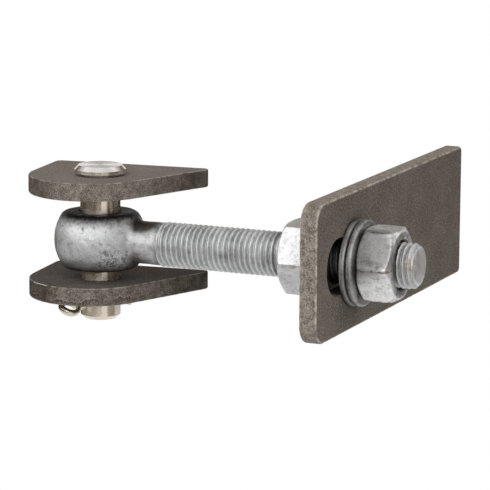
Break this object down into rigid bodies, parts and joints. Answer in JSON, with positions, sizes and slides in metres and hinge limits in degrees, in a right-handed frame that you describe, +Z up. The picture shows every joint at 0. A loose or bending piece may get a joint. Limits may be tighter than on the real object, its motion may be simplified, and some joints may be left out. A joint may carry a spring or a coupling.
{
  "type": "adjustable weld-on gate hinge",
  "caption": "Adjustable gate hinge: a galvanised eye bolt turns on a pin between weld-on lugs, and its nuts clamp a slotted weld-on plate.",
  "frame": {"origin": "where the hinge pin's axis meets the eye bolt's axis, at the middle of the eye", "axes": "+Z up the hinge pin, +X along the eye bolt towards its free end, +Y towards the lugs' weld edges"},
  "size_m": [0.1853, 0.18, 0.0687],
  "materials": {
    "mill_scale_steel": "raw hot-rolled steel with mill scale and paler cut edges",
    "bright_steel": "bright turned steel",
    "forged_zinc": "hot-dip galvanised forging, mottled",
    "zinc": "hot-dip galvanised, mottled"
  },
  "bodies": {
    "lugs": {"upper_lug": "mill_scale_steel", "lower_lug": "mill_scale_steel"},
    "pin": {"hinge_pin": "bright_steel", "split_pin": "bright_steel"},
    "eye_bolt": {"eye_bolt": "forged_zinc"},
    "washers": {"inner_nut_washer": "zinc", "inner_plate_washer": "zinc", "outer_plate_washer": "zinc", "outer_nut_washer": "zinc"},
    "inner_nut": {"inner_nut": "zinc"},
    "outer_nut": {"outer_nut": "zinc"},
    "plate": {"gate_plate": "mill_scale_steel"}
  },
  "joints": [
    {"name": "gate_swing", "type": "hinge", "parent": "lugs", "child": "pin", "pos_m": [0, 0, 0], "axis": [0, 0, 1], "continuous": true},
    {"name": "eye_lift", "type": "slide", "parent": "pin", "child": "eye_bolt", "axis": [0, 0, 1], "range_m": [-0.0047, 0.0081]},
    {"name": "clamp_travel", "type": "slide", "parent": "eye_bolt", "child": "washers", "axis": [1, 0, 0], "range_m": [-0.0375, 0.0075]},
    {"name": "outer_nut_turn", "type": "hinge", "parent": "washers", "child": "outer_nut", "pos_m": [0.1347, 0, 0], "axis": [1, 0, 0], "range_deg": [-5400, 1080]},
    {"name": "inner_nut_turn", "type": "hinge", "parent": "washers", "child": "inner_nut", "pos_m": [0.0987, 0, 0], "axis": [1, 0, 0], "range_deg": [-5400, 1080]},
    {"name": "plate_shift", "type": "slide", "parent": "washers", "child": "plate", "axis": [0, 1, 0], "range_m": [-0.0208, 0.0208]}
  ],
  "couplings": [
    {"joint": "outer_nut_turn", "follows": "clamp_travel", "rad_per_m": 2513.3},
    {"joint": "inner_nut_turn", "follows": "clamp_travel", "rad_per_m": 2513.3}
  ]
}
